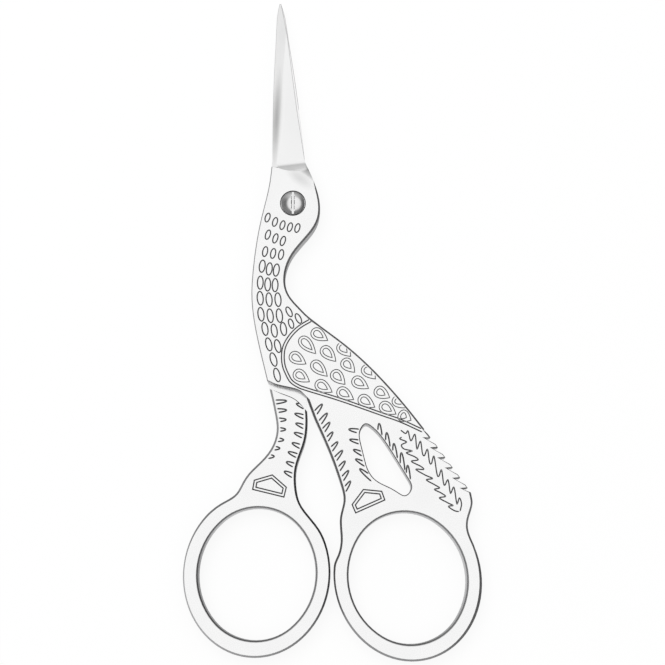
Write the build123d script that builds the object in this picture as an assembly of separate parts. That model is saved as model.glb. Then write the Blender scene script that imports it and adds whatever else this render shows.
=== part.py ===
from build123d import *
import math
import os

# Stork embroidery scissors, lying flat and closed.
# +X is to the stork's tail side, +Y runs along the blades to their tip and +Z faces the viewer.
# The origin is on the pivot's axis, at the flat back that the scissors rest on. Millimetres.

# Plate and lap joint
plate_thickness = 4.6
lap_gap = 0.06
stop_gap = 0.1
lap_inset = 0.08

# Blades
blade_length = 36.75
blade_tip_left = 2.4
blade_tip_flat = 0.3
root_rise = 7.75
root_width = 5.72
root_left = 0.78
ridge_root_drop = 1.25
ridge_root_inset = 0.7
ridge_root_height = 2.2
ridge_end_drop = 5.5
ridge_end_right = 1.05
ridge_end_height = 1.1
cutting_edge_height = 0.7
spine_facet_angle = 14.0
wheel_radius = 3.0
shoulder_skew = 10.0

# Head, neck and body
head_right = 4.75
head_right_drop = 0.75
brow_left = 2.8
brow_left_rise = 6.4
brow_right = 3.4
brow_right_rise = 1.9
brow_end_rise = 6.75
brow_radius = 6.0
waist_left = 1.32
waist_drop = 13.1
neck_bow_left = 7.17
neck_bow_drop = 16.0
wing_root_right = 3.12
wing_root_drop = 20.36
wing_tip_right = 22.75
wing_tip_drop = 39.65
body_corner_left = 4.36
body_corner_drop = 31.3
crotch_right = 2.4
crotch_drop = 33.95
step_left_gap = 1.25
step_right_gap = 2.5

# Tail
tail_tooth_count = 6
tail_tooth_depth = 1.05
tail_start_step = 1.05
wing_tip_nick = 0.25
tail_end_right = 30.65
tail_end_drop = 50.55
slot_top_right = 12.3
slot_top_drop = 39.0
slot_bottom_right = 19.34
slot_bottom_drop = 51.03

# Finger rings
hole_width = 20.0
hole_length = 22.4
ring_side_band = 2.55
ring_end_band = 2.88
ring_gap = 0.5
left_ring_left = 5.97
left_ring_drop = 64.4
right_ring_drop = 65.08
left_ring_turn = -5.0
right_ring_turn = 14.0

# Rounded and bevelled edges
hole_round = 0.55
handle_bevel = 0.35
neck_bevel = 0.32
feather_bevel = 0.16

# Pivot screw
shank_radius = 1.3
bore_clearance = 0.05
screw_head_radius = 2.05
seat_clearance = 0.08
seat_depth = 0.3
seat_gap = 0.03
screw_rim_height = 0.42
screw_dome_height = 0.68
screw_slot_width = 0.38
screw_slot_depth = 0.6

# Drafting allowances
overrun = 2.0
rim_tolerance = 0.01

# Outline shapes: each pair is a share along the chord between two stations and a share to its left
blade_edge_shares = [(0.095, 0.0), (0.319, 0.0), (0.574, -0.006), (0.825, -0.01), (0.949, -0.007)]
blade_spine_shares = [(0.318, 0.012), (0.51, 0.016), (0.703, 0.016), (0.833, 0.016), (0.936, 0.014)]
brow_shares = [(0.55, 0.046)]
nape_shares = [(0.154, 0.05), (0.425, 0.02), (0.712, -0.042)]
throat_shares = [(0.332, -0.125), (0.738, -0.07)]
lap_wall_top_share = (0.5, -0.12)
back_shares = [(0.277, 0.035), (0.58, 0.042), (0.867, 0.018)]
rump_shares = [(0.163, 0.013), (0.392, -0.067), (0.605, -0.106), (0.846, -0.042)]
belly_shares = [(0.148, -0.046), (0.432, -0.039), (0.801, 0.014)]
breast_shares = [(0.183, 0.011), (0.527, 0.027)]
crop_shares = [(0.134, 0.014), (0.357, 0.022), (0.583, 0.013), (0.812, -0.005)]
right_shin_shares = [(0.06, -0.032), (0.15, -0.066), (0.279, -0.083), (0.369, -0.118), (0.465, -0.116),
                     (0.733, -0.062), (0.855, -0.029)]
left_thigh_shares = [(0.077, 0.06), (0.192, 0.144), (0.277, 0.194), (0.354, 0.213), (0.433, 0.21),
                     (0.536, 0.179), (0.635, 0.142), (0.711, 0.131), (0.782, 0.124), (0.896, 0.052)]
left_shin_shares = [(0.149, 0.073), (0.263, 0.134), (0.378, 0.147), (0.511, 0.126), (0.682, 0.045),
                    (0.849, 0.007)]
lap_wall_shares = [(0.3, -0.03), (0.72, -0.005)]
step_shares = [(0.342, 0.057), (0.709, 0.091)]
slot_left_shares = [(0.05, -0.083), (0.209, -0.153), (0.344, -0.193), (0.499, -0.231), (0.634, -0.221),
                    (0.736, -0.172), (0.825, -0.11), (0.931, -0.052)]
slot_right_shares = [(0.962, 0.111), (0.842, 0.135), (0.574, 0.13), (0.283, 0.119), (0.088, 0.081)]
tooth_tip_share = 0.34
last_slope_share = 0.78

# Angles round each ring's oval where its two flares meet it
left_ring_angles = (139.0, 390.0)
right_ring_angles = (160.0, 365.5)

parting = plate_thickness / 2
reach = 2 * blade_length


def chain(start, end, shares):
    """Points between two stations, set out along their chord and to its left."""
    chord = end - start
    left = Vector(-chord.Y, chord.X)
    return [start + chord * along + left * beside for along, beside in shares]


def shifted(points, right):
    """The same points moved sideways."""
    return [point + Vector(right, 0) for point in points]


def smooth(points, start_direction=None, end_direction=None):
    """A spline through the points that leaves and arrives in the given directions."""
    if start_direction is None:
        start_direction = points[1] - points[0]
    if end_direction is None:
        end_direction = points[-1] - points[-2]
    return Spline(points, tangents=[start_direction, end_direction])


def oval_side(half_width, half_length, turn):
    """How far a turned oval reaches sideways from its centre."""
    angle = math.radians(turn)
    return math.hypot(half_width * math.cos(angle), half_length * math.sin(angle))


# Stations
blade_tip = Vector(-blade_tip_left, blade_length)
blade_root = Vector(-root_left, root_rise)
root_edge = blade_root + Vector(root_width / 2, 0)
root_spine = blade_root - Vector(root_width / 2, 0)
head_side = Vector(head_right, -head_right_drop)
waist = Vector(-waist_left, -waist_drop)
neck_bow = Vector(-neck_bow_left, -neck_bow_drop)
wing_root = Vector(wing_root_right, -wing_root_drop)
wing_tip = Vector(wing_tip_right, -wing_tip_drop)
body_corner = Vector(-body_corner_left, -body_corner_drop)
crotch = Vector(crotch_right, -crotch_drop)
lap_wall_top = chain(waist, wing_root, [lap_wall_top_share])[0]
step_left = body_corner - Vector(0, step_left_gap)
step_right = crotch - Vector(0, step_right_gap)
tail_end = Vector(tail_end_right, -tail_end_drop)
tail_line = (tail_end - wing_tip).normalized()
tail_out = Vector(-tail_line.Y, tail_line.X)
tail_start = wing_tip + tail_line * tail_start_step
slot_top = Vector(slot_top_right, -slot_top_drop)
slot_bottom = Vector(slot_bottom_right, -slot_bottom_drop)
ring_half_width = hole_width / 2 + ring_side_band
ring_half_length = hole_length / 2 + ring_end_band
left_ring = Vector(-left_ring_left, -left_ring_drop)
left_ring_side = oval_side(ring_half_width, ring_half_length, left_ring_turn)
right_ring_side = oval_side(ring_half_width, ring_half_length, right_ring_turn)
right_ring = Vector(left_ring.X + left_ring_side + ring_gap + right_ring_side, -right_ring_drop)


def ring_arc(centre, turn, angles):
    """The outer edge of a finger ring, anticlockwise from its inner flare round to its outer flare."""
    start, end = angles
    return EllipticalCenterArc(
        centre, ring_half_width, ring_half_length, start_angle=start, arc_size=end - start, rotation=turn
    )


def finger_hole(centre, turn):
    """The oval that the finger goes through, from round ends and flatter sides that meet at half a right angle."""
    swell = (hole_length - hole_width) / 2 / (2 - math.sqrt(2))
    side_radius = hole_width / 2 + swell
    end_radius = hole_length / 2 - swell
    arcs = []
    for quarter, radius, centre_x, centre_y in [
        (0, side_radius, -swell, 0), (1, end_radius, 0, swell),
        (2, side_radius, swell, 0), (3, end_radius, 0, -swell),
    ]:
        arcs.append(CenterArc((centre_x, centre_y), radius, 90 * quarter - 45, 90))
    return Pos(centre) * Rot(0, 0, turn) * make_face(Wire([arc.edges()[0] for arc in arcs]))


def blade_points():
    """The cutting edge from the tip to the root, and the spine from the root to the tip."""
    half_flat = Vector(blade_tip_flat / 2, 0)
    edge = [blade_tip + half_flat] + chain(root_edge, blade_tip, blade_edge_shares)[::-1] + [root_edge]
    spine = [root_spine] + chain(root_spine, blade_tip, blade_spine_shares) + [blade_tip - half_flat]
    return edge, spine


def turned_over(points):
    """Points mirrored across the blade's middle line, where the second blade lies on the first."""
    along = (blade_tip - blade_root).normalized()
    arms = [point - blade_root for point in points]
    return [blade_root + along * (2 * arm.dot(along)) - arm for arm in arms]


def tail_teeth():
    """Barbs down the tail: a slope out to each tip, then a cut back to its notch."""
    pitch = (tail_end - tail_start) / (tail_tooth_count - 1 + last_slope_share)
    points = [wing_tip, wing_tip - tail_line * wing_tip_nick - tail_out * wing_tip_nick]
    for tooth in range(tail_tooth_count):
        corner = tail_start + pitch * tooth
        points += [corner, corner + pitch * tooth_tip_share, corner - tail_out * tail_tooth_depth]
    return points + [tail_end]


def crown_to_waist():
    """From the blade's root round the head and down the nape to the neck's waist."""
    points = chain(root_edge, head_side, brow_shares) + [head_side]
    return points + chain(head_side, waist, nape_shares) + [waist]


def left_side_of_neck():
    """From the body's corner up the breast and neck to the blade's root."""
    points = chain(body_corner, neck_bow, breast_shares) + [neck_bow]
    return points + chain(neck_bow, root_spine, crop_shares)


def front_curves():
    """The stork itself: front blade, head, neck, wing, tail, right leg and right ring."""
    edge, spine = blade_points()
    back = chain(wing_root, wing_tip, back_shares)
    ring = ring_arc(right_ring, right_ring_turn, right_ring_angles)
    nape = [root_edge] + crown_to_waist() + chain(waist, wing_root, throat_shares) + [wing_root]
    rump = [tail_end] + chain(tail_end, ring @ 1, rump_shares) + [ring @ 1]
    shin = [ring @ 0] + chain(ring @ 0, crotch, right_shin_shares) + [crotch]
    belly = [crotch] + chain(crotch, body_corner, belly_shares) + [body_corner]
    return {
        "edge": smooth(edge),
        "nape": smooth(nape, end_direction=back[0] - nape[-2]),
        "back": smooth([wing_root] + back + [wing_tip], start_direction=back[0] - nape[-2]),
        "tail": Polyline(tail_teeth()),
        "rump": smooth(rump, end_direction=(ring % 1) * -1),
        "ring": ring,
        "shin": smooth(shin, start_direction=(ring % 0) * -1),
        "belly": smooth(belly),
        "neck": smooth([body_corner] + left_side_of_neck() + [root_spine]),
        "spine": smooth(spine),
        "tip": Line(spine[-1], edge[0]),
        "root": Line(root_spine, root_edge),
        "hip": Polyline(crotch, slot_bottom, tail_end),
    }


def lap_wall():
    """The line inside the body where the two halves stop against each other, from the crotch up."""
    return smooth([crotch] + chain(crotch, lap_wall_top, lap_wall_shares) + [lap_wall_top])


def rear_curves():
    """The second half: rear blade, the lug and band behind the head and neck, left leg and left ring."""
    edge, spine = [turned_over(points) for points in blade_points()]
    ring = ring_arc(left_ring, left_ring_turn, left_ring_angles)
    wall = Pos(-stop_gap, 0) * lap_wall()
    rear_crotch = wall @ 0
    thigh_top = body_corner + Vector(lap_inset, 0)
    lug = shifted(crown_to_waist() + chain(waist, wing_root, throat_shares[:1]), -lap_inset)
    shin = [ring @ 1] + chain(ring @ 1, rear_crotch, left_shin_shares) + [rear_crotch]
    thigh = [thigh_top] + chain(thigh_top, ring @ 0, left_thigh_shares) + [ring @ 0]
    neck = shifted(left_side_of_neck(), lap_inset)
    return {
        "spine": smooth(spine[::-1]),
        "lug": smooth([spine[0]] + lug + [wall @ 1], end_direction=(wall % 1) * -1),
        "wall": wall,
        "shin": smooth(shin, start_direction=ring % 1),
        "ring": ring,
        "thigh": smooth(thigh, end_direction=ring % 0),
        "neck": smooth([thigh_top] + neck + [edge[-1]]),
        "edge": smooth(edge[::-1]),
        "tip": Line(edge[0], spine[-1]),
        "root": Line(edge[-1], spine[0]),
        "hip": Line(rear_crotch, thigh_top),
    }


def tail_slot():
    """The long gap between the right leg and the tail."""
    left = chain(slot_top, slot_bottom, slot_left_shares)
    right = chain(slot_top, slot_bottom, slot_right_shares)
    return make_face(Spline([slot_top] + left + [slot_bottom] + right, periodic=True))


def plate(curves, names):
    """A full-thickness plate inside the named curves."""
    edges = [edge for name in names.split() for edge in curves[name].edges()]
    return extrude(make_face(Wire(edges)), plate_thickness)


def bevelled(solid, curves, names, width):
    """The plate with both rims bevelled along the named curves."""
    return chamfer(rims(solid, [curves[name] for name in names.split()]), width)


def ringed_leg(curves, flares, hole):
    """A leg that flares into its finger ring, rounded inside the ring and bevelled outside."""
    leg = plate(curves, flares + " hip") - extrude(hole, plate_thickness)
    leg = fillet(rims(leg, hole.edges()), hole_round)
    return bevelled(leg, curves, flares, handle_bevel)


def rims(solid, borders):
    """The edges of both flat faces that run along any of the border curves."""
    found = []
    for edge in solid.edges():
        middle = edge @ 0.5
        on_face = min(abs(middle.Z), abs(middle.Z - plate_thickness)) < rim_tolerance
        flat_middle = Vector(middle.X, middle.Y)
        if on_face and min(border.distance_to(flat_middle) for border in borders) < rim_tolerance:
            found.append(edge)
    return found


def window(border, low, high):
    """A cutter, between two heights, over all that lies on the blades' side of a border line."""
    start, end = border @ 0, border @ 1
    beyond = end + (border % 1) * overrun
    corners = [Vector(reach, beyond.Y), Vector(reach, reach), Vector(-reach, reach), Vector(-reach, start.Y)]
    frame = Polyline([end, beyond] + corners + [start])
    return Pos(0, 0, low) * extrude(make_face(Wire(border.edges() + frame.edges())), high - low)


def facet(origin, along, across):
    """A plane through a point and two directions, facing up."""
    normal = along.cross(across).normalized()
    if normal.Z < 0:
        normal = -normal
    return Plane(origin=origin, x_dir=along, z_dir=normal)


def blade_grind():
    """What the wheel takes off the front half: hollow shoulder, blade face, spine facet and rounded brow."""
    ridge_root = Vector(root_spine.X + ridge_root_inset, root_rise - ridge_root_drop, parting + ridge_root_height)
    ridge_end = Vector(
        blade_tip.X + ridge_end_right, blade_length - ridge_end_drop, parting + ridge_end_height
    )
    edge_root = Vector(root_edge.X, root_edge.Y, parting + cutting_edge_height)
    ridge = (ridge_end - ridge_root).normalized()
    face = facet(ridge_root, ridge, edge_root - ridge_root)
    skew = math.radians(shoulder_skew)
    shoulder_line = Vector(math.cos(skew), math.sin(skew))
    shoulder_line -= face.z_dir * shoulder_line.dot(face.z_dir)
    height = face.z_dir.dot(ridge_root - blade_root) / face.z_dir.Z
    shoulder = Plane(origin=blade_root + Vector(0, 0, height), x_dir=shoulder_line, z_dir=face.z_dir)
    low_front = (Align.CENTER, Align.MIN, Align.MIN)
    low_back = (Align.CENTER, Align.MAX, Align.MIN)
    wheel = Pos(0, 0, wheel_radius) * Cylinder(wheel_radius, reach, rotation=(0, 90, 0))
    run = Box(reach, reach, reach, align=low_front)
    lift = Pos(0, 0, wheel_radius) * Box(reach, wheel_radius, reach, align=low_back)
    face_cut = shoulder * (run + wheel + lift)
    lean = math.radians(spine_facet_angle)
    upward = (Vector(0, 0, 1) - ridge * ridge.Z).normalized()
    spine_normal = upward * math.cos(lean) + Vector(0, 0, 1).cross(ridge).normalized() * math.sin(lean)
    spine_plane = Plane(origin=ridge_root, x_dir=ridge, z_dir=spine_normal)
    spine_cut = spine_plane * Box(reach, reach, reach, align=(Align.MIN, Align.CENTER, Align.MIN))
    brow_start = Vector(-brow_left, brow_left_rise, plate_thickness - brow_radius)
    brow_end = Vector(brow_right, brow_right_rise, plate_thickness - brow_radius)
    brow_roll = Cylinder(brow_radius, reach, rotation=(0, 90, 0))
    brow_cut = Plane(origin=brow_start, x_dir=brow_end - brow_start) * (run - brow_roll)
    brow_limit = Pos(0, brow_end_rise) * Box(reach, reach, reach, align=low_back)
    return [face_cut, spine_cut, brow_cut & brow_limit]


def pivot_screw():
    """A slotted screw with a low domed head, ground flush at the back."""
    under_head = plate_thickness - seat_depth + seat_gap
    rim = under_head + screw_rim_height
    crown = rim + screw_dome_height
    profile = [
        Polyline((0, crown), (0, 0), (shank_radius, 0), (shank_radius, under_head),
                 (screw_head_radius, under_head), (screw_head_radius, rim)),
        RadiusArc((0, crown), (screw_head_radius, rim), dome_radius()),
    ]
    body = revolve(Plane.XZ * make_face(Wire(profile[0].edges() + profile[1].edges())), Axis.Z)
    slot = Box(screw_slot_width, screw_head_radius * 2 + overrun, screw_slot_depth + overrun,
               align=(Align.CENTER, Align.CENTER, Align.MIN))
    return body - Pos(0, 0, crown - screw_slot_depth) * slot


def dome_radius():
    """The radius of the sphere that crowns the screw's head."""
    return (screw_head_radius ** 2 + screw_dome_height ** 2) / (2 * screw_dome_height)


def front_half():
    """The half with the stork: lapped over the rear half from the blades to the body's edge."""
    curves = front_curves()
    body = plate(curves, "nape back tail hip belly neck root")
    body = bevelled(body, curves, "nape back", neck_bevel)
    body = bevelled(body, curves, "neck belly", feather_bevel)
    leg = ringed_leg(curves, "rump ring shin", finger_hole(right_ring, right_ring_turn))
    half = body + leg + plate(curves, "edge root spine tip")
    slot = tail_slot()
    half -= extrude(slot, plate_thickness)
    half = chamfer(rims(half, slot.edges()), feather_bevel)
    half -= window(lap_wall(), 0, parting + lap_gap / 2)
    half -= Cylinder(shank_radius + bore_clearance, reach)
    seat = Pos(0, 0, plate_thickness - seat_depth) * Cylinder(
        screw_head_radius + seat_clearance, reach, align=(Align.CENTER, Align.CENTER, Align.MIN)
    )
    half -= seat
    for cut in blade_grind():
        half -= cut
    return half


def rear_half():
    """The half behind: half as thick where the front half laps it, full thickness at the left leg."""
    curves = rear_curves()
    body = bevelled(plate(curves, "lug wall hip neck root"), curves, "lug wall", neck_bevel)
    body = bevelled(body, curves, "neck", feather_bevel)
    leg = ringed_leg(curves, "shin ring thigh", finger_hole(left_ring, left_ring_turn))
    half = body + leg + plate(curves, "edge root spine tip")
    step = smooth([step_left] + chain(step_left, step_right, step_shares) + [step_right])
    half -= window(step, parting - lap_gap / 2, plate_thickness + overrun)
    half -= Cylinder(shank_radius, reach)
    blade_line = Axis(blade_root + Vector(0, 0, parting), blade_tip - blade_root)
    for cut in blade_grind():
        half -= cut.rotate(blade_line, 180)
    return half


os.makedirs("parts", exist_ok=True)
for name, solid in [("front_half", front_half()), ("rear_half", rear_half()), ("pivot_screw", pivot_screw())]:
    solid.label = name
    export_step(solid, f"parts/{name}.step")
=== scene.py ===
import math

import bmesh
import bpy
import numpy as np
from bpy.props import FloatProperty, FloatVectorProperty, PointerProperty
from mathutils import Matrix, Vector
from mathutils.geometry import delaunay_2d_cdt


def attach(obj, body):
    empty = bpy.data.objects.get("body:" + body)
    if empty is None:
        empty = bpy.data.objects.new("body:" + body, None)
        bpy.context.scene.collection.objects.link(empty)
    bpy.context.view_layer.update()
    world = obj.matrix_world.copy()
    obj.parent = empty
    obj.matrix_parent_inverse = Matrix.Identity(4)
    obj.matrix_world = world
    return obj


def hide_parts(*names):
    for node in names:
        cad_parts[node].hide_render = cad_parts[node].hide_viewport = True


# Embroidery scissors in the shape of a stork, lying closed on a pale floor.
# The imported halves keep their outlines, blades and lap joint. Their flat faces are cut again here,
# with the feathers, wing, foot and tail lines engraved as real grooves.

bl_info = {
    "name": "Stork Embroidery Scissors",
    "version": (1, 0, 0),
    "blender": (4, 5, 0),
    "location": "3D View > Sidebar > Stork Scissors",
    "description": "Engraves and finishes the two halves and the pivot screw, and sets up a plain studio",
    "category": "Object",
}

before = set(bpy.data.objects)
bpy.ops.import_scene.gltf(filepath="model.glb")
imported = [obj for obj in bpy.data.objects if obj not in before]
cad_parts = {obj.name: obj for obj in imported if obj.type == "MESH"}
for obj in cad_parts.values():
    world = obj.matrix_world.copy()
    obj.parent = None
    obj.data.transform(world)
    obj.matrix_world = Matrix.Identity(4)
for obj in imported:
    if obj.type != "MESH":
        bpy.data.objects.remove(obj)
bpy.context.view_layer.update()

MM = 0.001
WELD = 0.001 * MM

# Engraving, in millimetres on the front face, seen from the front

# Rows of neck feathers: first centre, last centre, count, sag of the row, half width, half length, and lean
# in degrees
FEATHER_ROWS = [
    ((-4.42, -2.57), (0.80, -4.44), 5, 0.42, 0.40, 0.80, -17),
    ((-4.35, -5.62), (-1.73, -6.74), 3, 0.10, 0.40, 0.85, -18),
    ((-4.82, -8.62), (-2.03, -9.15), 3, 0.07, 0.42, 0.88, -12),
    ((-5.31, -11.21), (-2.85, -11.90), 3, 0.14, 0.50, 1.08, -8),
    ((-5.63, -14.12), (-3.05, -14.56), 3, 0.10, 0.50, 1.15, -1),
    ((-5.63, -16.87), (-2.54, -17.12), 3, 0.12, 0.52, 1.20, 5),
    ((-5.48, -19.69), (-2.28, -19.93), 3, 0.14, 0.52, 1.20, 8),
    ((-4.77, -22.25), (-1.56, -22.27), 3, 0.30, 0.50, 1.15, 10),
    ((-4.10, -24.96), (-2.55, -25.26), 2, 0.00, 0.50, 1.15, 14),
    ((-3.27, -27.61), (-3.27, -27.61), 1, 0.00, 0.52, 1.20, 17),
    ((-2.65, -30.30), (-2.65, -30.30), 1, 0.00, 0.50, 1.20, 15),
    ((-0.60, -19.26), (1.02, -20.44), 2, 0.00, 0.42, 0.92, 27),
    ((-0.25, -21.34), (-0.25, -21.34), 1, 0.00, 0.40, 0.85, 18),
]

# The band that borders the wing, from the wing's root round its front and along to its tip
WING_BAND = [
    (3.45, -20.30), (1.30, -21.56), (-0.09, -22.79), (-1.12, -24.19), (-1.72, -25.59), (-1.89, -27.16),
    (-1.71, -28.73), (-1.19, -30.12), (-0.40, -31.51), (0.81, -32.38), (2.36, -32.99), (8.23, -34.81),
    (15.12, -37.23), (18.55, -38.44), (22.40, -40.20),
]
WING_BAND_WIDTH = 0.47

# Wing feathers: centre of the round head, then the pointed tip
WING_FEATHERS = [
    ((4.21, -23.07), (6.10, -24.28)), ((2.03, -24.49), (4.03, -26.58)), ((5.81, -26.18), (7.51, -27.93)),
    ((0.45, -27.20), (2.34, -28.38)), ((4.13, -28.69), (6.02, -30.52)), ((8.70, -25.59), (10.08, -27.06)),
    ((9.39, -28.38), (10.77, -29.84)), ((1.15, -30.30), (2.95, -31.48)), ((7.59, -30.38), (9.09, -31.93)),
    ((12.95, -29.50), (14.34, -30.99)), ((4.92, -32.09), (6.87, -33.28)), ((11.27, -31.48), (13.15, -32.64)),
    ((8.69, -33.37), (10.57, -34.57)), ((15.13, -33.28), (16.80, -34.24)), ((12.35, -34.67), (14.22, -35.90)),
    ((18.28, -34.88), (19.40, -36.02)), ((16.00, -35.87), (17.87, -37.09)), ((19.26, -37.46), (20.45, -38.15)),
]
WING_FEATHER_HEAD = 1.02
WING_FEATHER_INSET = 0.46

# Feather fringes on the legs and round the tail slot: where each tongue starts at the edge, then its tip
FRINGES = [
    ((-3.37, -35.05), (-1.00, -34.81)), ((-3.11, -36.51), (-0.99, -36.40)), ((-2.83, -38.10), (-1.07, -38.05)),
    ((-2.59, -39.74), (-1.15, -39.74)), ((-2.69, -41.49), (-1.47, -41.55)), ((-3.30, -42.94), (-2.13, -42.99)),
    ((-4.12, -44.38), (-3.09, -44.38)),
    ((2.37, -36.00), (0.73, -35.28)), ((2.37, -37.68), (0.48, -37.01)), ((2.29, -39.37), (0.65, -38.70)),
    ((2.10, -41.00), (0.38, -40.32)), ((1.49, -42.72), (0.03, -42.08)), ((0.86, -44.26), (-0.64, -43.63)),
    ((0.31, -45.88), (-0.96, -45.34)), ((-0.04, -47.59), (-1.31, -46.97)),
    ((3.95, -36.95), (5.14, -35.38)), ((4.70, -38.65), (6.02, -36.94)), ((5.15, -40.20), (6.45, -38.53)),
    ((5.75, -41.80), (6.97, -40.20)), ((6.45, -43.50), (7.81, -41.89)), ((7.20, -45.10), (8.64, -43.37)),
    ((7.75, -46.90), (9.08, -45.21)), ((8.35, -48.60), (9.68, -46.82)), ((8.75, -50.50), (10.00, -48.63)),
    ((11.70, -40.07), (9.77, -39.72)), ((12.05, -42.05), (9.93, -41.49)), ((12.40, -44.10), (10.56, -43.23)),
    ((12.85, -45.90), (10.92, -44.85)), ((13.45, -48.05), (11.63, -46.53)),
    ((15.10, -40.80), (14.96, -38.72)), ((16.45, -42.55), (16.26, -40.31)), ((17.70, -44.50), (17.47, -42.18)),
    ((18.95, -46.30), (18.75, -43.77)), ((19.95, -48.60), (19.82, -45.93)),
]
FRINGE_HALF_WIDTH = 0.36
FRINGE_OVERRUN = 0.55

# Barbed lines down the tail, each a wavy line through the tips and roots of its barbs
TAIL_LINES = [
    [
        (18.63, -39.82), (19.49, -40.43), (19.92, -40.00), (20.26, -41.37), (20.51, -41.63), (21.12, -40.60),
        (21.37, -42.75), (21.54, -43.01), (22.06, -41.80), (22.39, -43.87), (22.73, -44.21), (23.25, -43.18),
        (23.58, -45.33), (23.92, -45.59), (24.36, -44.38), (24.85, -47.39), (25.19, -47.73), (25.63, -46.70),
        (25.95, -48.93), (26.20, -49.27), (26.73, -48.41), (27.05, -50.38), (27.22, -50.63), (27.74, -49.69),
        (28.14, -52.17), (28.31, -52.43), (28.66, -51.49), (29.00, -52.51), (28.73, -53.79),
    ],
    [
        (18.88, -41.03), (18.54, -41.37), (19.65, -41.89), (18.79, -42.41), (19.22, -43.09), (20.59, -43.44),
        (19.64, -43.78), (21.10, -44.47), (21.61, -44.98), (20.49, -45.24), (22.11, -46.10), (22.54, -46.61),
        (21.25, -46.61), (22.79, -47.56), (24.07, -48.16), (23.04, -48.41), (24.49, -49.27), (25.26, -49.78),
        (24.40, -50.04), (25.51, -50.63), (26.27, -51.23), (25.24, -51.49), (26.69, -52.34), (27.54, -52.77),
        (26.77, -52.94), (27.70, -53.62), (28.60, -53.85),
    ],
]

# Feet, where each leg flares into its ring
FEET = [
    [(-3.38, -47.56), (-0.98, -49.66), (-1.38, -51.33), (-6.73, -50.02), (-6.45, -48.46)],
    [(12.23, -50.05), (15.36, -50.36), (15.88, -51.83), (10.90, -54.03), (10.30, -52.61)],
]
FOOT_BAND_WIDTH = 0.48

# How wide the finer lines are, as shares of the full line width
FEATHER_SHARE = 0.85
WING_FEATHER_SHARE = 0.6

# How finely lines are set out, and how they end
POINT_STEP = 0.16
TAPER_LENGTH = 0.22
EDGE_MARGIN = 0.02
SHORTEST_HALF_WIDTH = 0.02
SHORTEST_CHAIN = 4

# How close two corners are before the triangulation takes them as one, and the least square of a length
SAME_PLACE = 1e-7
LEAST_SQUARE = 1e-12

# How much is worked out at once: points, and pairs of a point and a segment
POINTS_AT_ONCE = 64
PAIRS_AT_ONCE = 4_000_000

# A wall is upright, and a face nearly level, where its normal rises by less or more than this share
UPRIGHT = 0.1
NEARLY_LEVEL = 0.93

# How far a face's normal rises where the bright polished tone starts, and where it is full; steeper faces get
# the darker side tone, partly painted shade
LEVEL_RANGE = (0.75, 0.985)

# The hollow under the blades, which gets the flat faces' bright tone and polish too although it leans: where
# it starts and ends along the blades, where it ends across them, how far its face leans towards the tip, and
# how much of the bright tone it gets
HOLLOW_STARTS = (4.6 * MM, 5.4 * MM)
HOLLOW_ENDS = (8.3 * MM, 8.7 * MM)
HOLLOW_SIDE = (2 * MM, 3 * MM)
HOLLOW_LEAN = (0.05, 0.3)
HOLLOW_REACH = 0.85

# Painted light and shade on the edges: which way the edges face that are painted lightest, and how far the
# side tone is darkened or lightened, from those that face the tip to those that face away
LIT_EDGE_SIDE = (-0.5, -0.87, 0)
EDGE_SHADE_RANGE = (0.28, 1.35)

# Depth of the fine polishing lines
POLISH_DEPTH = 0.001 * MM

# Painted dark reflections, laid into the steel's colour along the root of the blade's back, over the blade's
# flat, under the brow's edge and on the screw's head: each oval's centre, turn in degrees, half sizes, and the
# share of the light left in its middle
PAINTED_REFLECTION_OVALS = [
    ((-2.95, 15.5, 3.6), -3, (1.15, 11, 4), 0.55),
    ((0.4, 17, 4.6), 0, (4, 13, 5), 0.975),
    ((1.2, 4.5, 4.6), -38, (4, 1.6, 4), 0.8),
    ((-1.35, -0.1, 5.2), 0, (1.05, 2, 0.58), 0.6),
]

# The finger rings lie below this place
RINGS_START = -52 * MM

# The blades start here, and their ridges turn by an angle between these
BLADES_START = 8.1 * MM
RIDGE_ANGLES = (math.radians(6), math.radians(25))
FLAT_ANGLE = math.radians(0.5)
RIDGE_STEPS = 6

# The studio: plain white, its share in the floor, the soft edge of the dome's bright part, the surround's
# light from left to right, and what is added ahead
WHITE = (1, 1, 1, 1)
FLOOR_WHITE = 0.9
DOME_EDGE = math.radians(7)
SURROUND_LIGHT = (0.34, 0.1)
AHEAD_LIGHT = 0.55


class EngravingSettings(bpy.types.PropertyGroup):
    """How wide and deep the engraved lines are."""

    line_width: FloatProperty(
        name="Line Width", description="Width of an engraved line at the surface",
        default=0.27 * MM, min=0.02 * MM, unit="LENGTH",
    )
    line_depth: FloatProperty(
        name="Line Depth", description="Depth of an engraved line at its middle",
        default=0.13 * MM, min=0.01 * MM, unit="LENGTH",
    )
    edge_break: FloatProperty(
        name="Edge Break", description="Width of the small bevel where a flat face meets an upright wall",
        default=0.13 * MM, min=0.01 * MM, unit="LENGTH",
    )
    ridge_round: FloatProperty(
        name="Ridge Round", description="How far the rounding of a blade's ridge reaches to each side",
        default=0.66 * MM, min=0.01 * MM, unit="LENGTH",
    )
    blade_rim: FloatProperty(
        name="Blade Rim", description="Width of the fine bevel along a blade's edges",
        default=0.05 * MM, min=0.01 * MM, unit="LENGTH",
    )
    slot_rim: FloatProperty(
        name="Slot Rim", description="Width of the fine bevel along the screw's slot",
        default=0.13 * MM, min=0.01 * MM, unit="LENGTH",
    )
    smooth_angle: FloatProperty(
        name="Smooth Angle", description="Faces that meet at less than this angle are shaded as one",
        default=math.radians(24), subtype="ANGLE",
    )


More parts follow.
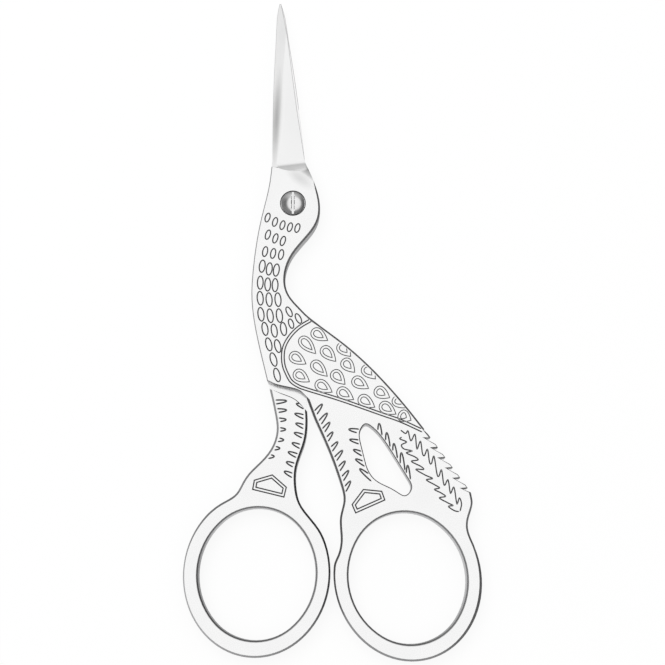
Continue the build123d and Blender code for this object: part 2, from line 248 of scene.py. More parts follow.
class SteelSettings(bpy.types.PropertyGroup):
    """Colours and polish of the steel."""

    face_tone: FloatVectorProperty(
        name="Face Tone", description="Colour of the polished flat faces",
        default=(0.925, 0.925, 0.925), subtype="COLOR", min=0, max=1,
    )
    # Partly the duller steel of edges, walls and grooves, partly painted shade on faces that lean
    side_tone: FloatVectorProperty(
        name="Side Tone",
        description="Colour of the edges, walls and grooves, which the polishing wheel hardly reaches",
        default=(0.36, 0.36, 0.365), subtype="COLOR", min=0, max=1,
    )
    screw_tone: FloatVectorProperty(
        name="Screw Tone", description="Colour of the polished screw head",
        default=(0.86, 0.86, 0.86), subtype="COLOR", min=0, max=1,
    )
    polish: FloatProperty(
        name="Polish Roughness", description="Roughness of the best polished faces",
        default=0.14, min=0, max=1, subtype="FACTOR",
    )
    side_roughness: FloatProperty(
        name="Side Roughness", description="Roughness of the edges and grooves",
        default=0.38, min=0, max=1, subtype="FACTOR",
    )


class StudioSettings(bpy.types.PropertyGroup):
    """The floor, the light and the camera."""

    floor_size: FloatProperty(
        name="Floor Size", description="Side of the square floor", default=4.0, unit="LENGTH",
    )
    floor_tone: FloatVectorProperty(
        name="Floor Tone", description="Colour of the floor", default=(0.93, 0.93, 0.93), subtype="COLOR",
    )
    dome_tilt_right: FloatProperty(
        name="Dome Tilt Right", description="How far the bright part of the light dome leans to the right",
        default=math.radians(6.5), subtype="ANGLE",
    )
    dome_tilt_up: FloatProperty(
        name="Dome Tilt Up", description="How far the bright part of the light dome leans towards the blades",
        default=math.radians(6), subtype="ANGLE",
    )
    dome_angle: FloatProperty(
        name="Dome Angle", description="Half angle of the bright part of the light dome",
        default=math.radians(43), subtype="ANGLE",
    )
    lamp_power: FloatProperty(
        name="Lamp Power", description="Power of the soft lamp over the floor", default=3.6, unit="POWER",
    )
    camera_place: FloatVectorProperty(
        name="Camera Place", description="Where the camera stands over the scissors",
        default=(6.935 * MM, -67.92 * MM, 317.1 * MM), subtype="TRANSLATION", unit="LENGTH",
    )
    camera_tilt: FloatProperty(
        name="Camera Tilt", description="How far the camera leans from looking straight down",
        default=math.radians(8.2), subtype="ANGLE",
    )
    camera_lens: FloatProperty(
        name="Focal Length", description="Focal length on a 36 mm wide sensor", default=98.6, unit="CAMERA",
    )


def left_of(vectors):
    """Each vector turned a quarter turn to its left."""
    return np.stack([-vectors[:, 1], vectors[:, 0]], 1)


def along_lines(corners, closed=False):
    """Straight runs between corners, with points set out evenly: p = a + (b - a) t for each run."""
    corners = np.asarray(corners, float)
    ends = np.roll(corners, -1, 0) if closed else corners[1:]
    starts = corners if closed else corners[:-1]
    runs = []
    for start, end in zip(starts, ends):
        count = max(2, math.ceil(np.hypot(*(end - start)) / POINT_STEP))
        runs.append(start + (end - start) * np.linspace(0, 1, count, endpoint=False)[:, None])
    if not closed:
        runs.append(corners[-1:])
    return np.concatenate(runs)


def along_curve(stations):
    """A smooth line through stations: on each span a cubic that leaves and arrives along the stations' own
    directions, p = h0 a + h1 da + h2 b + h3 db with the Hermite weights h of t."""
    stations = np.asarray(stations, float)
    slopes = np.gradient(stations, axis=0)
    count = math.ceil(np.hypot(*np.diff(stations, axis=0).T).max() / POINT_STEP)
    t = np.linspace(0, 1, count, endpoint=False)[None, :, None]
    start, end = stations[:-1, None], stations[1:, None]
    leave, arrive = slopes[:-1, None], slopes[1:, None]
    points = (
        (2 * t ** 3 - 3 * t ** 2 + 1) * start + (t ** 3 - 2 * t ** 2 + t) * leave
        + (3 * t ** 2 - 2 * t ** 3) * end + (t ** 3 - t ** 2) * arrive
    )
    return np.concatenate([points.reshape(-1, 2), stations[-1:]])


def beside(points, distance):
    """A line moved to its left by a distance, at right angles to its own direction."""
    directions = np.gradient(points, axis=0)
    directions /= np.linalg.norm(directions, axis=1, keepdims=True)
    return points + left_of(directions) * distance


def inset(corners, distance):
    """A polygon with each side moved inwards: a corner moves along its half angle by
    distance / sin(half angle)."""
    corners = np.asarray(corners, float)
    sides = np.roll(corners, -1, 0) - corners
    sides /= np.linalg.norm(sides, axis=1, keepdims=True)
    area = np.sum(corners[:, 0] * np.roll(corners[:, 1], -1) - corners[:, 1] * np.roll(corners[:, 0], -1))
    inward = left_of(sides) * math.copysign(1, area)
    before = np.roll(inward, 1, 0)
    middle = inward + before
    return corners + middle * distance / (1 + np.sum(inward * before, 1, keepdims=True))


def oval(centre, half_width, half_length, lean):
    """A closed oval: centre + across cos(a) + along sin(a), its long axis leant to the left of upright."""
    count = math.ceil(math.pi * (half_width + half_length) / POINT_STEP)
    a = np.linspace(0, 2 * math.pi, count, endpoint=False)[:, None]
    angle = math.radians(lean)
    across = np.array([math.cos(angle), math.sin(angle)]) * half_width
    along = np.array([-math.sin(angle), math.cos(angle)]) * half_length
    return np.asarray(centre) + across * np.cos(a) + along * np.sin(a)


def teardrop(head, tip, head_radius):
    """A closed drop: along its axis cos(a), across it sin(a) sin(a / 2), which is pointed at a = 0."""
    head, tip = np.asarray(head), np.asarray(tip)
    axis = (tip - head) / np.linalg.norm(tip - head)
    back = head - axis * head_radius
    middle, half = (tip + back) / 2, np.linalg.norm(tip - back) / 2
    widest = 4 / (3 * math.sqrt(3))
    count = math.ceil(math.pi * (half + head_radius) / POINT_STEP)
    a = np.linspace(0, 2 * math.pi, count, endpoint=False)[:, None]
    across = np.array([-axis[1], axis[0]]) * head_radius / widest
    return middle + axis * half * np.cos(a) + across * np.sin(a) * np.sin(a / 2)


def tongue(root, tip, half_width):
    """An open hairpin: half an oval from one side of the root, round the tip and back to the other side. It
    starts past the edge, which cuts it."""
    root, tip = np.asarray(root), np.asarray(tip)
    root = root - (tip - root) / np.linalg.norm(tip - root) * FRINGE_OVERRUN
    reach = tip - root
    across = np.array([-reach[1], reach[0]]) / np.linalg.norm(reach) * half_width
    count = math.ceil(2 * np.linalg.norm(reach) / POINT_STEP)
    a = np.linspace(0, math.pi, count)[:, None]
    return root + reach * np.sin(a) + across * np.cos(a)


def engraving():
    """Every engraved line as its points, whether it is closed, and its width as a share of the line width."""
    lines = []
    for first, last, count, sag, half_width, half_length, lean in FEATHER_ROWS:
        shares = np.linspace(0, 1, count) if count > 1 else [0.0]
        for share in shares:
            centre = np.asarray(first) * (1 - share) + np.asarray(last) * share
            centre = centre - np.array([0, sag]) * 4 * share * (1 - share)
            lines.append((oval(centre, half_width, half_length, lean), True, FEATHER_SHARE))
    band = along_curve(WING_BAND)
    lines += [(band, False, FEATHER_SHARE), (beside(band, WING_BAND_WIDTH), False, FEATHER_SHARE)]
    for head, tip in WING_FEATHERS:
        lines.append((teardrop(head, tip, WING_FEATHER_HEAD), True, WING_FEATHER_SHARE))
        reach = np.subtract(tip, head)
        inner_tip = np.asarray(tip) - reach / np.linalg.norm(reach) * WING_FEATHER_INSET * 2
        inner = teardrop(head, inner_tip, WING_FEATHER_HEAD - WING_FEATHER_INSET)
        lines.append((inner, True, WING_FEATHER_SHARE))
    for root, tip in FRINGES:
        lines.append((tongue(root, tip, FRINGE_HALF_WIDTH), False, 1))
    for stations in TAIL_LINES:
        lines.append((along_curve(stations), False, FEATHER_SHARE))
    for foot in FEET:
        lines.append((along_lines(foot, True), True, FEATHER_SHARE))
        lines.append((along_lines(inset(foot, FOOT_BAND_WIDTH), True), True, FEATHER_SHARE))
    return lines


def arrays(solid):
    """A bmesh's corners and triangles as arrays. The bmesh is freed."""
    mesh = bpy.data.meshes.new("arrays")
    solid.to_mesh(mesh)
    solid.free()
    corners = np.empty(len(mesh.vertices) * 3)
    mesh.vertices.foreach_get("co", corners)
    triangles = np.empty(len(mesh.loops), np.int32)
    mesh.loops.foreach_get("vertex_index", triangles)
    bpy.data.meshes.remove(mesh)
    return corners.reshape(-1, 3), triangles.reshape(-1, 3).astype(int)


def welded(node):
    """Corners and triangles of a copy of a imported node, with the corners that share a place made one and the
    triangles of the rings' roundings turned the way that bends least."""
    solid = bmesh.new()
    solid.from_mesh(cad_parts[node].data)
    bmesh.ops.remove_doubles(solid, verts=solid.verts, dist=WELD)
    bmesh.ops.dissolve_degenerate(solid, edges=solid.edges, dist=WELD)
    bmesh.ops.triangulate(solid, faces=solid.faces)
    rings = [face for face in solid.faces if face.calc_center_median().y < RINGS_START]
    sloping = [face for face in rings if UPRIGHT / 10 < abs(face.normal.z) < 1 - UPRIGHT / 1000]
    chosen = set(sloping)
    edges = [edge for edge in solid.edges if not chosen.isdisjoint(edge.link_faces)]
    bmesh.ops.beautify_fill(solid, faces=sloping, edges=edges, method="ANGLE")
    return arrays(solid)


def bevelled(corners, triangles, lowest, bevels):
    """The solid with sharp edges eased above a place along the blades: for each bevel, the edges that it picks
    by the tilts of their two faces and the angle between them get its width, in one flat step or several."""
    mesh = bpy.data.meshes.new("bevelled")
    mesh.from_pydata(corners, [], triangles.tolist())
    solid = bmesh.new()
    solid.from_mesh(mesh)
    bpy.data.meshes.remove(mesh)
    above = [edge for edge in solid.edges if min(vert.co.y for vert in edge.verts) > lowest]
    bmesh.ops.dissolve_limit(solid, angle_limit=FLAT_ANGLE, edges=above)
    for picks, width, steps in bevels:
        edges = []
        for edge in solid.edges:
            if edge.is_convex and min(vert.co.y for vert in edge.verts) > lowest:
                tilts = sorted(abs(face.normal.z) for face in edge.link_faces)
                if picks(tilts, edge.calc_face_angle()):
                    edges.append(edge)
        bmesh.ops.bevel(
            solid, geom=edges, offset=width, offset_type="OFFSET", segments=steps, profile=0.5, affect="EDGES",
            clamp_overlap=False,
        )
    bmesh.ops.triangulate(solid, faces=solid.faces[:])
    return arrays(solid)


def is_ridge(tilts, angle):
    """Whether an edge is a blade's ridge: both faces nearly level, with a slight angle between them."""
    return tilts[0] > NEARLY_LEVEL and RIDGE_ANGLES[0] < angle < RIDGE_ANGLES[1]


def is_rim(tilts, angle):
    """Whether an edge is a rim: one face nearly level and the other upright."""
    return tilts[1] > NEARLY_LEVEL and tilts[0] < UPRIGHT


def flat_face(corners, triangles, height, facing):
    """Which triangles lie flat at a height and face up (1) or down (-1)."""
    a, b, c = (corners[triangles[:, i]] for i in range(3))
    upward = np.cross(b - a, c - a)[:, 2]
    level = np.abs(corners[triangles, 2] - height).max(1) < WELD
    return level & (upward * facing > 0)


def border_edges(triangles):
    """The edges that only one of the triangles has, each in its own triangle's direction."""
    edges = np.concatenate([triangles[:, [0, 1]], triangles[:, [1, 2]], triangles[:, [2, 0]]])
    span = triangles.max() + 1
    keys = edges[:, 0] * span + edges[:, 1]
    turned = edges[:, 1] * span + edges[:, 0]
    return edges[~np.isin(keys, turned)]


def inside(points, starts, ends):
    """Whether each point lies inside the border: a ray to its right then crosses the border an odd number
    of times."""
    crossings = np.zeros(len(points), int)
    blocks = max(1, len(points) * len(starts) // PAIRS_AT_ONCE)
    for block in np.array_split(np.arange(len(points)), blocks):
        x, y = points[block, 0][:, None], points[block, 1][:, None]
        spans = (starts[:, 1] > y) != (ends[:, 1] > y)
        rise = np.where(ends[:, 1] == starts[:, 1], 1, ends[:, 1] - starts[:, 1])
        at = starts[:, 0] + (y - starts[:, 1]) / rise * (ends[:, 0] - starts[:, 0])
        crossings[block] = np.sum(spans & (at > x), 1)
    return crossings % 2 == 1


def to_segments(points, starts, ends):
    """Each point's distance to every segment, and how far along the segment its foot lies, from 0 to 1."""
    run = ends - starts
    length = np.maximum(np.sum(run ** 2, 1), LEAST_SQUARE)
    share = np.clip(np.sum((points[:, None] - starts) * run, 2) / length, 0, 1)
    feet = starts + run * share[..., None]
    return np.linalg.norm(points[:, None] - feet, axis=2), share


def fitted(line, closed, half_width, starts, ends):
    """The runs of a line that lie on a face, each with its half widths: full along the run, less near
    the face's border, and tapered to nothing at the line's own ends."""
    blocks = np.array_split(line, len(line) // POINTS_AT_ONCE + 1)
    room = np.concatenate([to_segments(block, starts, ends)[0].min(1) for block in blocks])
    room = np.where(inside(line, starts, ends), room - EDGE_MARGIN, 0)
    keep = room > SHORTEST_HALF_WIDTH
    if closed and keep.all():
        return [(line, np.minimum(half_width, room), True)]
    if closed:
        shift = int(np.argmin(keep))
        line, room, keep = (np.roll(values, -shift, 0) for values in (line, room, keep))
    runs = []
    changes = np.flatnonzero(np.diff(np.concatenate([[0], keep.astype(int), [0]])))
    for first, last in changes.reshape(-1, 2):
        run = line[first:last]
        if len(run) < SHORTEST_CHAIN:
            continue
        travel = np.concatenate([[0], np.cumsum(np.linalg.norm(np.diff(run, axis=0), axis=1))])
        taper = np.ones(len(run))
        if first == 0 and not closed:
            taper = np.sqrt(np.clip(travel / TAPER_LENGTH, 0, 1))
        if last == len(line) and not closed:
            taper = np.minimum(taper, np.sqrt(np.clip((travel[-1] - travel) / TAPER_LENGTH, 0, 1)))
        widths = np.minimum(half_width * taper, room[first:last])
        widths[[0, -1]] = 0
        runs.append((run, widths, False))
    return runs


def groove_borders(run, half_widths, closed):
    """The two sides of a groove: the middle line moved left and right, mitred where it turns."""
    if closed:
        before, after = run - np.roll(run, 1, 0), np.roll(run, -1, 0) - run
    else:
        steps = np.diff(run, axis=0)
        before, after = np.concatenate([steps[:1], steps]), np.concatenate([steps, steps[-1:]])
    before /= np.linalg.norm(before, axis=1, keepdims=True)
    after /= np.linalg.norm(after, axis=1, keepdims=True)
    middle = before + after
    length = np.maximum(np.linalg.norm(middle, axis=1, keepdims=True), 1)
    mitre = 2 / length
    sideways = left_of(middle / length) * mitre * half_widths[:, None]
    return run + sideways, run - sideways


def depths(points, runs):
    """How deep each point lies in the grooves: slope (half width - distance) over the nearest run, so a groove
    keeps its slope as it narrows."""
    result = np.zeros(len(points))
    for run, half_widths, closed, slope in runs:
        low, high = run.min(0) - half_widths.max(), run.max(0) + half_widths.max()
        near = np.flatnonzero(np.all((points > low) & (points < high), 1))
        if not len(near):
            continue
        following = np.roll(np.arange(len(run)), -1)
        last = len(run) if closed else len(run) - 1
        starts, ends = run[:last], run[following[:last]]
        distance, share = to_segments(points[near], starts, ends)
        own = half_widths[:last] * (1 - share) + half_widths[following[:last]] * share
        result[near] = np.maximum(result[near], (own - distance).max(1) * slope)
    return result


def walled_border(corners, triangles, flat, border):
    """Which of a flat face's border edges have an upright wall on their other side."""
    others = triangles[~flat]
    span = len(corners)
    edges = np.concatenate([others[:, [1, 0]], others[:, [2, 1]], others[:, [0, 2]]])
    keys = edges[:, 0] * span + edges[:, 1]
    order = np.argsort(keys)
    wanted = border[:, 0] * span + border[:, 1]
    place = order[np.searchsorted(keys, wanted, sorter=order)] % len(others)
    a, b, c = (corners[others[place, i]] for i in range(3))
    normal = np.cross(b - a, c - a)
    return np.abs(normal[:, 2]) < UPRIGHT * np.linalg.norm(normal, axis=1)


def chained(edges):
    """Edges joined into chains of corner numbers, each with whether it closes on itself."""
    following = dict(edges.tolist())
    chains = []
    while following:
        heads = set(following) - set(following.values())
        place = min(heads) if heads else min(following)
        chain = [place]
        while place in following:
            place = following.pop(place)
            chain.append(place)
        closed = chain[0] == chain[-1]
        chains.append((np.array(chain[:-1] if closed else chain), closed))
    return chains


def engrave(corners, triangles, height, facing, settings):
    """The solid with grooves cut into its flat face at a height: the face is triangulated again round the
    grooves' sides and middle lines, and each new corner sinks by the depth there."""
    flat = flat_face(corners, triangles, height, facing)
    border = border_edges(triangles[flat])
    walled = walled_border(corners, triangles, flat, border)
    used, border = np.unique(border, return_inverse=True)
    border = border.reshape(-1, 2)
    outline = corners[used, :2] / MM
    starts, ends = outline[border[:, 0]], outline[border[:, 1]]
    half_width, slope = settings.line_width / MM / 2, 2 * settings.line_depth / settings.line_width
    points, edges, count = [outline], [border], len(outline)
    breaks = []
    for chain, closed in chained(border[walled]):
        if len(chain) < SHORTEST_CHAIN:
            continue
        widths = np.full(len(chain), settings.edge_break / MM)
        if not closed:
            widths[[0, -1]] = 0
        breaks.append((outline[chain], widths, closed, 1))
        sides = groove_borders(outline[chain], widths, closed)
        size = len(chain)
        index = count + np.arange(size)
        if not closed:
            index[[0, -1]] = chain[[0, -1]]
        points.append(sides[0] if facing > 0 else sides[1])
        edges.append(np.stack([index, np.roll(index, -1)], 1)[:size if closed else -1])
        count += size
    grooves = []
    for line, closed, share in engraving():
        grooves += [(*run, slope) for run in fitted(line, closed, half_width * share, starts, ends)]
    for run, half_widths, closed, _ in grooves:
        left, right = groove_borders(run, half_widths, closed)
        size = len(run)
        index = np.arange(size)
        chain = np.stack([index, np.roll(index, -1)], 1)
        if closed:
            points += [run, left, right]
            edges += [chain + count, chain + count + size, chain + count + 2 * size]
            count += 3 * size
        else:
            inner = size - 2
            points += [run, left[1:-1], right[1:-1]]
            edges.append(chain[:-1] + count)
            for offset in (size, size + inner):
                side = np.concatenate([[0], offset + np.arange(inner), [size - 1]])
                edges.append(np.stack([side[:-1], side[1:]], 1) + count)
            count += size + 2 * inner
    points, edges = np.concatenate(points), np.concatenate(edges)
    made = delaunay_2d_cdt([Vector(point) for point in points], edges.tolist(), [], 0, SAME_PLACE, True)
    places = np.array([tuple(point) for point in made[0]])
    faces = np.array([tuple(face) for face in made[2]])
    faces = faces[inside(places[faces].mean(1), starts, ends)]
    sources = np.array([min(numbers, default=-1) for numbers in made[3]])
    kept = (sources >= 0) & (sources < len(outline))
    index = np.full(len(places), -1)
    index[kept] = used[sources[kept]]
    new = np.flatnonzero(index < 0)
    index[new] = len(corners) + np.arange(len(new))
    sunk = height - facing * MM * depths(places[new], grooves + breaks)
    added = np.column_stack([places[new] * MM, sunk])
    corners = corners.copy()
    corners[used, 2] = height - facing * MM * depths(outline, breaks)
    a, b, c = (places[faces[:, i]] for i in range(3))
    turn = (b[:, 0] - a[:, 0]) * (c[:, 1] - a[:, 1]) - (b[:, 1] - a[:, 1]) * (c[:, 0] - a[:, 0])
    faces = np.where((turn * facing < 0)[:, None], faces[:, ::-1], faces)
    return np.concatenate([corners, added]), np.concatenate([triangles[~flat], index[faces]])


def finished_piece(context, name, corners, triangles, material):
    """A mesh object from corners and triangles, smooth within the set angle and with flat faces kept flat."""
    used, triangles = np.unique(triangles, return_inverse=True)
    mesh = bpy.data.meshes.new(name)
    mesh.from_pydata(corners[used], [], triangles.reshape(-1, 3))
    mesh.validate()
    mesh.shade_smooth()
    mesh.set_sharp_from_angle(angle=context.scene.stork_engraving.smooth_angle)
    mesh.materials.append(material)
    piece = bpy.data.objects.new(name, mesh)
    context.scene.collection.objects.link(piece)
    weighted = piece.modifiers.new("Flat faces stay flat", "WEIGHTED_NORMAL")
    weighted.keep_sharp = True
    return piece


def combined(tree, operation, first, *others):
    """The sum, product or greatest of several values."""
    total = first
    for other in others:
        both = tree.nodes.new("ShaderNodeMath")
        both.operation = operation
        tree.links.new(total, both.inputs[0])
        tree.links.new(other, both.inputs[1])
        total = both.outputs[0]
    return total


def map_range(tree, value, low, high, to_low, to_high, curve="SMOOTHSTEP"):
    """A value carried from one range to another, smoothly or along a straight line."""
    node = tree.nodes.new("ShaderNodeMapRange")
    node.interpolation_type = curve
    node.inputs["From Min"].default_value = low
    node.inputs["From Max"].default_value = high
    node.inputs["To Min"].default_value = to_low
    node.inputs["To Max"].default_value = to_high
    tree.links.new(value, node.inputs["Value"])
    return node.outputs["Result"]


def colour_mix(tree, factor, first, second, blend="MIX"):
    """Two colours mixed or multiplied. Each input is a plain value or comes from another node."""
    node = tree.nodes.new("ShaderNodeMix")
    node.data_type = "RGBA"
    node.blend_type = blend
    for name, value in (("Factor", factor), ("A", first), ("B", second)):
        if isinstance(value, bpy.types.NodeSocket):
            tree.links.new(value, node.inputs[name])
        else:
            node.inputs[name].default_value = value
    return node.outputs["Result"]


def along_axis(tree, vector, axis):
    """How far a vector reaches along an axis."""
    node = tree.nodes.new("ShaderNodeVectorMath")
    node.operation = "DOT_PRODUCT"
    node.inputs[1].default_value = axis
    tree.links.new(vector, node.inputs[0])
    return node.outputs["Value"]


def parts_of(tree, vector):
    """A vector's three parts."""
    node = tree.nodes.new("ShaderNodeSeparateXYZ")
    tree.links.new(vector, node.inputs[0])
    return node.outputs


def placed_group(tree, name, build, *outputs):
    """A shader node group placed in a material. The first time, it is built with the named values that it
    puts out."""
    group = bpy.data.node_groups.get(name)
    if not group:
        group = bpy.data.node_groups.new(name, "ShaderNodeTree")
        for label in outputs:
            group.interface.new_socket(label, in_out="OUTPUT", socket_type="NodeSocketFloat")
        build(group, group.nodes.new("NodeGroupOutput").inputs)
    node = tree.nodes.new("ShaderNodeGroup")
    node.node_tree = group
    return node.outputs


def polish_and_tilt_shade(group, out):
    """How well the polishing wheel reached a place, which also sets painted shade by how far a face leans: 1
    on the flat faces and in the hollow under the blades,
    0 on edges, walls and grooves."""
    normal = parts_of(group, group.nodes.new("ShaderNodeNewGeometry").outputs["Normal"])
    place = parts_of(group, group.nodes.new("ShaderNodeTexCoord").outputs["Object"])
    hollow = combined(
        group, "MULTIPLY",
        map_range(group, place["Y"], *HOLLOW_STARTS, 0, 1),
        map_range(group, place["Y"], *HOLLOW_ENDS, 1, 0),
        map_range(group, normal["Y"], *HOLLOW_LEAN, 0, 1),
        map_range(group, place["X"], *HOLLOW_SIDE, HOLLOW_REACH, 0),
    )
    level = group.nodes.new("ShaderNodeMath")
    level.operation = "ABSOLUTE"
    group.links.new(normal["Z"], level.inputs[0])
    flat = map_range(group, level.outputs[0], *LEVEL_RANGE, 0, 1)
    group.links.new(combined(group, "MAXIMUM", hollow, flat), out["Reach"])


def painted_edge_shade(group, out):
    """Painted shade and light on the edges: darkest where an edge faces the blades' tip, lightest where it
    faces away.
    """
    normal = group.nodes.new("ShaderNodeNewGeometry").outputs["Normal"]
    facing = along_axis(group, normal, LIT_EDGE_SIDE)
    group.links.new(map_range(group, facing, -0.8, 0.8, *EDGE_SHADE_RANGE), out["Clear"])


def polish_marks(group, out):
    """Fine polishing lines across the piece and soft smudges from handling."""
    place = group.nodes.new("ShaderNodeTexCoord").outputs["Object"]
    stretch = group.nodes.new("ShaderNodeMapping")
    stretch.inputs["Rotation"].default_value = (0, 0, math.radians(12))
    stretch.inputs["Scale"].default_value = (500, 9000, 9000)
    lines = group.nodes.new("ShaderNodeTexNoise")
    lines.inputs["Scale"].default_value = 1
    lines.inputs["Detail"].default_value = 3
    smudges = group.nodes.new("ShaderNodeTexNoise")
    smudges.inputs["Scale"].default_value = 160
    smudges.inputs["Detail"].default_value = 4
    smudges.inputs["Roughness"].default_value = 0.6
    group.links.new(place, stretch.inputs["Vector"])
    group.links.new(stretch.outputs["Vector"], lines.inputs["Vector"])
    group.links.new(place, smudges.inputs["Vector"])
    group.links.new(lines.outputs["Fac"], out["Lines"])
    group.links.new(smudges.outputs["Fac"], out["Smudges"])


def painted_dark_reflections(group, out):
    """Painted dark reflections in the steel's colour: ovals that fade outwards."""
    place = group.nodes.new("ShaderNodeTexCoord").outputs["Object"]
    clear = []
    for centre, turn, half_sizes, darkest in PAINTED_REFLECTION_OVALS:
        oval_place = group.nodes.new("ShaderNodeMapping")
        oval_place.vector_type = "TEXTURE"
        oval_place.inputs["Location"].default_value = [length * MM for length in centre]
        oval_place.inputs["Rotation"].default_value = (0, 0, math.radians(turn))
        oval_place.inputs["Scale"].default_value = [length * MM for length in half_sizes]
        distance = group.nodes.new("ShaderNodeVectorMath")
        distance.operation = "LENGTH"
        group.links.new(place, oval_place.inputs["Vector"])
        group.links.new(oval_place.outputs["Vector"], distance.inputs[0])
        clear.append(map_range(group, distance.outputs["Value"], 0, 1, darkest, 1))
    group.links.new(combined(group, "MULTIPLY", *clear), out["Clear"])


def steel(name, face_tone, settings):
    """Polished steel: bright on the flats, darker and satin where the wheel hardly reached. The darker colour
    on edges, walls and grooves is partly painted shade.
    """
    material = bpy.data.materials.new(name)
    material.use_nodes = True
    tree = material.node_tree
    shader = tree.nodes["Principled BSDF"]
    shader.inputs["Metallic"].default_value = 1
    reach = placed_group(tree, "Polish And Tilt Shade", polish_and_tilt_shade, "Reach")["Reach"]
    marks = placed_group(tree, "Polish Marks", polish_marks, "Lines", "Smudges")
    edge_shade = placed_group(tree, "Painted Edge Shade", painted_edge_shade, "Clear")["Clear"]
    # Painted dark reflections that darken the colour in ovals
    wheel = placed_group(tree, "Painted Dark Reflections", painted_dark_reflections, "Clear")["Clear"]
    # The side tone is darkened or lightened by painted edge shade, by which way an edge faces
    side = colour_mix(tree, 1, (*settings.side_tone, 1), edge_shade, "MULTIPLY")
    # Edges, walls and grooves get the darker side tone: duller steel, and partly painted shade by tilt
    colour = colour_mix(tree, reach, side, (*face_tone, 1))
    # Multiplied in: soft handling smudges, then the painted dark reflections
    for smudge_and_painted_reflection in (map_range(tree, marks["Smudges"], 0.3, 0.7, 0.975, 1), wheel):
        colour = colour_mix(tree, 1, colour, smudge_and_painted_reflection, "MULTIPLY")
    tree.links.new(colour, shader.inputs["Base Color"])
    shine = map_range(tree, reach, 0, 1, settings.side_roughness, settings.polish)
    blur = map_range(tree, marks["Smudges"], 0.3, 0.75, -0.03, 0.07)
    tree.links.new(combined(tree, "ADD", shine, blur), shader.inputs["Roughness"])
    bump = tree.nodes.new("ShaderNodeBump")
    bump.inputs["Strength"].default_value = 0.3
    bump.inputs["Distance"].default_value = POLISH_DEPTH
    tree.links.new(marks["Lines"], bump.inputs["Height"])
    tree.links.new(bump.outputs["Normal"], shader.inputs["Normal"])
    return material


def half_steel(settings):
    """The steel that both halves share."""
    name = "stork_polished_steel"
    return bpy.data.materials.get(name) or steel(name, settings.face_tone, settings)


class STORK_OT_front_half(bpy.types.Operator):
    """Engrave both faces of the half that carries the stork, and finish it in polished steel"""

    bl_idname = "stork.front_half"
    bl_label = "Front Half"

    def execute(self, context):
        engrave_half(context, "front_half", "stork_front_half", "front")
        return {"FINISHED"}


class STORK_OT_rear_half(bpy.types.Operator):
    """Engrave both faces of the half behind, with its leg and ring, and finish it in polished steel"""

    bl_idname = "stork.rear_half"
    bl_label = "Rear Half"

    def execute(self, context):
        engrave_half(context, "rear_half", "stork_rear_half", "rear")
        return {"FINISHED"}


def engrave_half(context, node, name, body):
    """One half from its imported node, engraved on its front and back faces."""
    settings = context.scene.stork_engraving
    corners, triangles = welded(node)
    bevels = [(is_ridge, settings.ridge_round, RIDGE_STEPS), (is_rim, settings.blade_rim, 1)]
    corners, triangles = bevelled(corners, triangles, BLADES_START, bevels)
    for height, facing in ((corners[:, 2].max(), 1), (corners[:, 2].min(), -1)):
        corners, triangles = engrave(corners, triangles, height, facing, settings)
    piece = finished_piece(context, name, corners, triangles, half_steel(context.scene.stork_steel))
    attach(piece, body)
    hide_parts(node)


class STORK_OT_pivot_screw(bpy.types.Operator):
    """Finish the slotted pivot screw in brightly polished steel"""

    bl_idname = "stork.pivot_screw"
    bl_label = "Pivot Screw"

    def execute(self, context):
        colours = context.scene.stork_steel
        material = steel("stork_screw_steel", colours.screw_tone, colours)
        corners, triangles = welded("pivot_screw")
        rim = context.scene.stork_engraving.slot_rim
        corners, triangles = bevelled(corners, triangles, -math.inf, [(is_rim, rim, 1)])
        piece = finished_piece(context, "stork_pivot_screw", corners, triangles, material)
        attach(piece, "rear")
        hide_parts("pivot_screw")
        return {"FINISHED"}


class STORK_OT_studio(bpy.types.Operator):
    """Set up the pale floor, the light dome with its soft lamp, and the camera over the scissors"""

    bl_idname = "stork.studio"
    bl_label = "Studio"

    def execute(self, context):
        settings = context.scene.stork_studio
        lay_floor(context, settings)
        light_dome(context, settings)
        soft_lamp(context, settings)
        place_camera(context, settings)
        context.scene.view_settings.view_transform = "Standard"
        return {"FINISHED"}


def lay_floor(context, settings):
    """A flat square floor just under the scissors. Straight rays see it mixed with plain white."""
    half = settings.floor_size / 2
    level = -WELD
    mesh = bpy.data.meshes.new("floor")
    mesh.from_pydata([(-half, -half, level), (half, -half, level), (half, half, level), (-half, half, level)],
                     [], [(0, 1, 2, 3)])
    material = bpy.data.materials.new("floor")
    material.use_nodes = True
    tree = material.node_tree
    nodes, links = tree.nodes, tree.links
    nodes.remove(nodes["Principled BSDF"])
    paper = nodes.new("ShaderNodeBsdfDiffuse")
    paper.inputs["Color"].default_value = (*settings.floor_tone, 1)
    white = nodes.new("ShaderNodeEmission")
    mix = nodes.new("ShaderNodeMixShader")
    share = nodes.new("ShaderNodeMath")
    share.operation = "MULTIPLY"
    share.inputs[1].default_value = FLOOR_WHITE
    links.new(straight_rays(tree), share.inputs[0])
    links.new(share.outputs[0], mix.inputs[0])
    links.new(paper.outputs[0], mix.inputs[1])
    links.new(white.outputs[0], mix.inputs[2])
    links.new(mix.outputs[0], nodes["Material Output"].inputs["Surface"])
    mesh.materials.append(material)
    floor = bpy.data.objects.new("floor", mesh)
    context.scene.collection.objects.link(floor)


def straight_rays(tree):
    """1 for rays from the camera, off metal and through glass, else 0."""
    rays = tree.nodes.new("ShaderNodeLightPath").outputs
    return combined(tree, "MAXIMUM", rays["Is Camera Ray"], rays["Is Glossy Ray"], rays["Is Transmission Ray"])


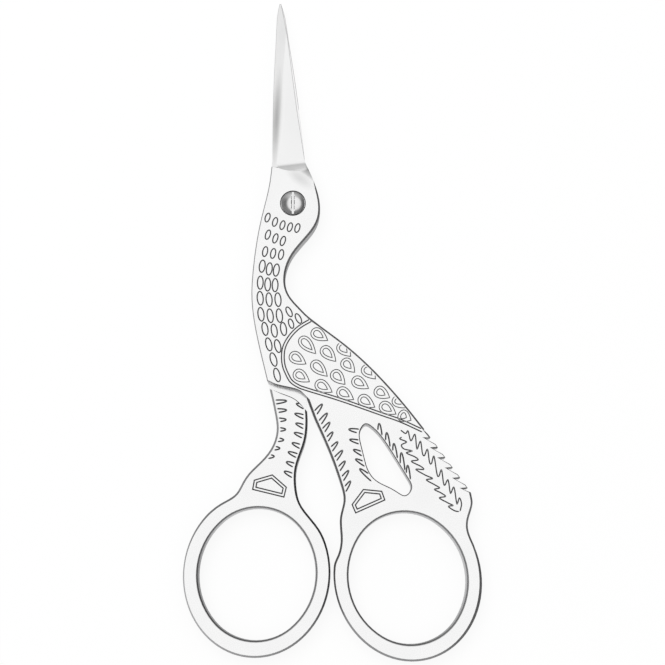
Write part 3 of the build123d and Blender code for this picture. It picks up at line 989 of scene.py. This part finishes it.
def light_dome(context, settings):
    """The light round the scissors: white over a wide cone overhead, grey round the horizon, lighter ahead
    and at the left than at the right. The camera sees plain white."""
    world = bpy.data.worlds.new("light_dome")
    world.use_nodes = True
    context.scene.world = world
    tree = world.node_tree
    direction = tree.nodes.new("ShaderNodeTexCoord").outputs["Generated"]
    axis = Vector((math.tan(settings.dome_tilt_right), math.tan(settings.dome_tilt_up), 1)).normalized()
    outer, inner = math.cos(settings.dome_angle + DOME_EDGE), math.cos(settings.dome_angle - DOME_EDGE)
    bright = map_range(tree, along_axis(tree, direction, axis), outer, inner, 0, 1)
    parts = parts_of(tree, direction)
    surround = map_range(tree, parts["X"], -1, 1, *SURROUND_LIGHT, "LINEAR")
    ahead = map_range(tree, parts["Y"], 0.3, 1, 0, AHEAD_LIGHT)
    dome = colour_mix(tree, bright, combined(tree, "ADD", surround, ahead), WHITE)
    camera_ray = tree.nodes.new("ShaderNodeLightPath").outputs["Is Camera Ray"]
    seen = colour_mix(tree, camera_ray, dome, WHITE)
    tree.links.new(seen, tree.nodes["Background"].inputs["Color"])


def soft_lamp(context, settings):
    """A wide soft lamp over the floor, which metal doesn't mirror."""
    lamp = bpy.data.lights.new("soft_lamp", "AREA")
    lamp.size = 0.6
    lamp.energy = settings.lamp_power
    holder = bpy.data.objects.new("soft_lamp", lamp)
    holder.location = (-0.15, 0.15, 0.8)
    holder.rotation_euler = Vector((0.15, -0.2, -0.8)).to_track_quat("-Z", "Y").to_euler()
    holder.visible_glossy = False
    context.scene.collection.objects.link(holder)


def place_camera(context, settings):
    """The camera looks down at the scissors, leaning a little towards the blades."""
    camera = bpy.data.cameras.new("camera")
    camera.lens = settings.camera_lens
    camera.clip_start = 0.01
    holder = bpy.data.objects.new("camera", camera)
    holder.location = settings.camera_place
    holder.rotation_euler = (settings.camera_tilt, 0, 0)
    context.scene.collection.objects.link(holder)
    context.scene.camera = holder


class STORK_PT_panel(bpy.types.Panel):
    """The scissors' pieces and settings in the sidebar"""

    bl_idname = "STORK_PT_panel"
    bl_label = "Stork Scissors"
    bl_space_type = "VIEW_3D"
    bl_region_type = "UI"
    bl_category = "Stork Scissors"

    def draw(self, context):
        for operator in PIECE_OPERATORS:
            self.layout.operator(operator.bl_idname)
        for settings in (context.scene.stork_engraving, context.scene.stork_steel, context.scene.stork_studio):
            box = self.layout.box()
            for name in settings.__annotations__:
                box.prop(settings, name)


SETTINGS = {
    "stork_engraving": EngravingSettings,
    "stork_steel": SteelSettings,
    "stork_studio": StudioSettings,
}
PIECE_OPERATORS = (STORK_OT_studio, STORK_OT_front_half, STORK_OT_rear_half, STORK_OT_pivot_screw)


def register():
    """Make the settings, operators and panel known to Blender."""
    for cls in (*SETTINGS.values(), *PIECE_OPERATORS, STORK_PT_panel):
        bpy.utils.register_class(cls)
    for name, cls in SETTINGS.items():
        setattr(bpy.types.Scene, name, PointerProperty(type=cls))


def unregister():
    """Take them out again, last first."""
    for name in SETTINGS:
        delattr(bpy.types.Scene, name)
    for cls in reversed((*SETTINGS.values(), *PIECE_OPERATORS, STORK_PT_panel)):
        bpy.utils.unregister_class(cls)


def main():
    """Build the whole scene: the studio, then each piece."""
    register()
    bpy.ops.stork.studio()
    bpy.ops.stork.front_half()
    bpy.ops.stork.rear_half()
    bpy.ops.stork.pivot_screw()


if __name__ == "__main__":
    main()
